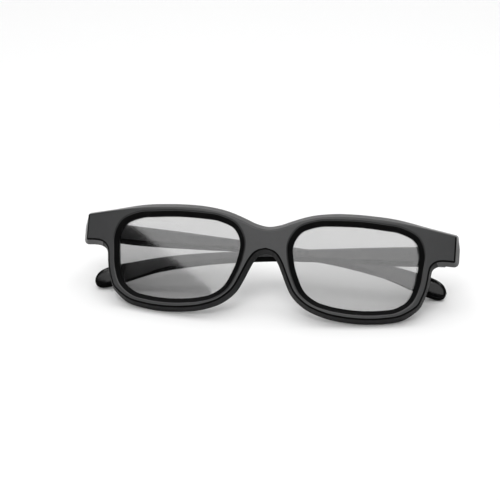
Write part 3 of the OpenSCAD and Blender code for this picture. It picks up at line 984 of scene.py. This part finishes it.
class GLASSES_OT_arms(bpy.types.Operator):
    """Builds the two ear arms with their hinge tongues"""

    bl_idname = "glasses.arms"
    bl_label = "Ear arms"

    def execute(self, context):
        hinge = sizes("hinges")
        for side, sign in SIDES.items():
            fold = getattr(hinge, f"fold_{side}")
            turn = Matrix.Rotation(sign * (math.pi / 2 - fold), 4, "Z")
            place = hinge_frame(side) @ turn @ Matrix.Diagonal((sign, 1, 1, 1))
            arm = self.arm(f"ear_arm_{side}", place)
            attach(arm, f"{side}_arm")
            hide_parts(f"arm_{side}")
        return {"FINISHED"}

    def thickness(self, along):
        """Thickness of the arm at a share of its length, with a rounded tip."""
        hinge = sizes("hinges")
        thick = mix(hinge.arm_root, hinge.arm_middle, rise(along, *ARM_THINS))
        thick = mix(thick, hinge.arm_tip, rise(along, *HOOK_THICKENS))
        start, end = TIP_ROUNDS
        if along > start:
            thick *= math.sqrt(max(TIP_LEAST, 1 - ((along - start) / (end - start)) ** 2))
        return thick

    def slant(self, along):
        """Slant of the lower side, which dies away at the hinge and at the ear hook."""
        return sizes("hinges").arm_slant * rise(along, *SLANT_GROWS) * (1 - rise(along, *HOOK_FORMS))

    def rows(self):
        """Rows of the side view, on smooth curves: place along the arm, top edge and bottom edge."""
        knots = [Vector(row) * MM for row in ARM_SIDE]
        last = len(knots) - 1
        rows = []
        for j in range(last):
            near = [knots[max(0, min(last, j + k))] for k in (-1, 0, 1, 2)]
            rows += [between(*near, q / ARM_STEPS) for q in range(ARM_STEPS)]
        return rows + [knots[-1]]

    def ring(self, row, reach):
        """One ring round the arm: flat-sided, with rounded edges and a slanted lower side."""
        hinge = sizes("hinges")
        along, top, bottom = row
        power = mix(ARM_POWER, HOOK_POWER, rise(along / reach, *HOOK_FORMS))
        half = self.thickness(along / reach) / 2
        slant = self.slant(along / reach)
        shift = hinge.arm_shift * rise(along, 0, hinge.arm_shift_by)
        middle = hinge.arm_out - hinge.arm_root / 2 + shift
        ring = []
        for k in range(ARM_POINTS):
            turn = 2 * math.pi * (k + 0.5) / ARM_POINTS
            across = signed_power(math.cos(turn), power)
            up = signed_power(math.sin(turn), power)
            lift = max(0, -up) * slant * (1 - across) / 2
            height = (top + bottom) / 2 + (top - bottom) / 2 * up + lift
            ring.append(Vector((middle + half * across, along, height)))
        return ring

    def mark_shaded_strip(self, bm, rows):
        """Paints the faces of the lower side near-black, as painted shade."""
        bm.normal_update()
        for face in bm.faces:
            if abs(face.normal.z) <= SHADED_STRIP_STARTS:
                continue
            centre = face.calc_center_median()
            row = min(rows, key=lambda r: abs(r.x - centre.y))
            if centre.z < (row.y + row.z) / 2:
                face.material_index = SHADED_STRIP

    def hinge_blocks(self, materials, place):
        """Butt, knuckle and web, which join the arm to its hinge."""
        hinge = sizes("hinges")
        radius, half = hinge.lug_radius, hinge.tongue_height / 2
        butt_low = (radius + hinge.butt_clear, -hinge.butt_past, -hinge.butt_down)
        butt_high = (hinge.arm_out - hinge.butt_skin, hinge.butt_length - hinge.butt_past,
                     hinge.butt_up)
        butt = block("butt", butt_low, butt_high, hinge.edge_round, materials, place)
        knuckle = drum("knuckle", radius, -half, half, hinge.tongue_round, materials, place)
        web = block("web", (0, -radius / 2, -half),
                    (hinge.arm_out - hinge.arm_root / 2, 2 * radius, half),
                    hinge.tongue_round, materials, place)
        return [butt, knuckle, web]

    def arm(self, name, place):
        """One arm, drawn open along Y and then put in its place."""
        hinge = sizes("hinges")
        # The second finish is painted shade on the arm's lower side
        materials = [satin_arm(), painted_shade_black()]
        rows = self.rows()
        reach = rows[-1].x + hinge.tip_cap
        bm = bmesh.new()
        grid = loft(bm, [self.ring(row, reach) for row in rows])
        self.mark_shaded_strip(bm, rows)
        for ring, along in ((grid[0], rows[0].x), (grid[-1], reach - hinge.tip_blunt)):
            middle = sum((vert.co for vert in ring), Vector()) / len(ring)
            close_ring(bm, ring, (middle.x, along, middle.z))
        bm.transform(place)
        arm = mesh_object(name, bm, materials)
        combine(arm, self.hinge_blocks(materials, place))
        combine(arm, [bore(hinge.pin / 2 + hinge.pin_play, materials, place)], "DIFFERENCE")
        self.mark_gloss(arm, place, reach)
        shade(arm, CURVED_HARD_EDGE)
        return arm

    def mark_gloss(self, arm, place, reach):
        """Stores how glossy each point is, from the satin arm to the glossy hook."""
        inverse = place.inverted()
        layer = arm.data.attributes.new("tip_gloss", "FLOAT", "POINT")
        for vert, item in zip(arm.data.vertices, layer.data):
            item.value = rise((inverse @ vert.co).y / reach, *HOOK_SHINES)


class GLASSES_OT_pins(bpy.types.Operator):
    """Builds the two hinge pins"""

    bl_idname = "glasses.pins"
    bl_label = "Hinge pins"

    def execute(self, context):
        hinge = sizes("hinges")
        _, top = lug_span()
        for side in SIDES:
            pin = drum(f"pin_{side}", hinge.pin / 2, -top, top, hinge.pin_round, [turned_steel()],
                       hinge_frame(side), sides=PIN_SIDES)
            shade(pin)
            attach(pin, "front")
            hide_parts(f"hinge_pin_{side}")
        return {"FINISHED"}


class GLASSES_OT_stage(bpy.types.Operator):
    """Makes the floor, the lights and the camera"""

    bl_idname = "glasses.stage"
    bl_label = "Stage"

    def execute(self, context):
        scene = context.scene
        scene.view_settings.view_transform = "Standard"
        self.floor()
        self.room(scene)
        light = sizes("stage")
        self.lamp("ceiling_softbox", light.ceiling, *CEILING_LAMP)
        self.lamp("key_lamp", light.key, *KEY_LAMP)
        self.panel("front_softbox", light.front, *FRONT_PANEL)
        self.panel("backdrop", light.backdrop, *BACK_PANEL)
        scene.camera = self.camera()
        return {"FINISHED"}

    def floor(self):
        """A wide floor under the glasses."""
        bm = bmesh.new()
        bmesh.ops.create_grid(bm, x_segments=1, y_segments=1, size=FLOOR_HALF)
        floor = mesh_object("floor", bm, [studio_floor()])

    def room(self, scene):
        """Even light from all round."""
        world = bpy.data.worlds.new("room")
        scene.world = world
        world.use_nodes = True
        background = world.node_tree.nodes["Background"]
        background.inputs["Color"].default_value = (1, 1, 1, 1)
        background.inputs["Strength"].default_value = sizes("stage").room

    def lamp(self, name, radiance, place, aim, size):
        """An area light of a given brightness."""
        data = bpy.data.lights.new(name, "AREA")
        data.shape = "RECTANGLE"
        data.size, data.size_y = size
        data.energy = radiance * math.pi * size[0] * size[1]
        lamp = bpy.data.objects.new(name, data)
        lamp.location = place
        lamp.rotation_euler = (Vector(aim) - Vector(place)).to_track_quat("-Z", "Y").to_euler()
        bpy.context.scene.collection.objects.link(lamp)

    def panel(self, name, radiance, depth, corners):
        """A flat glowing panel that stands at a given depth."""
        bm = bmesh.new()
        bm.faces.new([bm.verts.new((x, depth, z)) for x, z in corners])
        panel = mesh_object(name, bm)
        material = bpy.data.materials.new(name)
        material.use_nodes = True
        tree = material.node_tree
        glow = tree.nodes.new("ShaderNodeEmission")
        glow.inputs["Strength"].default_value = radiance
        tree.links.new(glow.outputs[0], tree.nodes["Material Output"].inputs["Surface"])
        panel.data.materials.append(material)

    def camera(self):
        """The photograph's camera, found in the front's own frame."""
        size = sizes("stage")
        turn, drop = size.camera_azimuth, -size.camera_drop
        back = Vector((math.sin(turn) * math.cos(drop), -math.cos(turn) * math.cos(drop),
                       math.sin(drop)))
        right = Vector((0, 0, 1)).cross(back).normalized()
        level = Matrix((right, back.cross(right), back)).transposed()
        own = level @ Matrix.Rotation(size.camera_roll, 3, "Z")
        data = bpy.data.cameras.new("camera")
        data.lens = size.focal_length
        half = size.image_pixels / 2
        data.shift_x = (half - size.middle_across) / size.image_pixels
        data.shift_y = (size.middle_down - half) / size.image_pixels
        camera = bpy.data.objects.new("camera", data)
        camera.matrix_world = stand() @ Matrix.Translation(back * size.camera_distance) @ own.to_4x4()
        bpy.context.scene.collection.objects.link(camera)
        return camera


class GLASSES_PT_build(bpy.types.Panel):
    """Lists the sizes, the finishes and the build steps"""

    bl_idname = "GLASSES_PT_build"
    bl_label = "Folding film glasses"
    bl_space_type = "VIEW_3D"
    bl_region_type = "UI"
    bl_category = "Glasses"

    def draw(self, context):
        for step in STEPS:
            self.layout.operator(step.bl_idname)
        for name, group in GROUPS.items():
            box = self.layout.box()
            box.label(text=group.__doc__)
            for prop in group.__annotations__:
                box.prop(sizes(name), prop)


STEPS = (GLASSES_OT_front, GLASSES_OT_films, GLASSES_OT_arms, GLASSES_OT_pins, GLASSES_OT_stage)
CLASSES = (*GROUPS.values(), *STEPS, GLASSES_PT_build)


def register():
    """Registers the classes and hangs the property groups on the scene."""
    for cls in CLASSES:
        bpy.utils.register_class(cls)
    for name, group in GROUPS.items():
        setattr(bpy.types.Scene, f"glasses_{name}", PointerProperty(type=group))


def unregister():
    """Takes the property groups and the classes away again."""
    for name in GROUPS:
        delattr(bpy.types.Scene, f"glasses_{name}")
    for cls in reversed(CLASSES):
        bpy.utils.unregister_class(cls)


def main():
    """Builds every piece and the stage."""
    register()
    bpy.ops.glasses.front()
    bpy.ops.glasses.films()
    bpy.ops.glasses.arms()
    bpy.ops.glasses.pins()
    bpy.ops.glasses.stage()


if __name__ == "__main__":
    main()
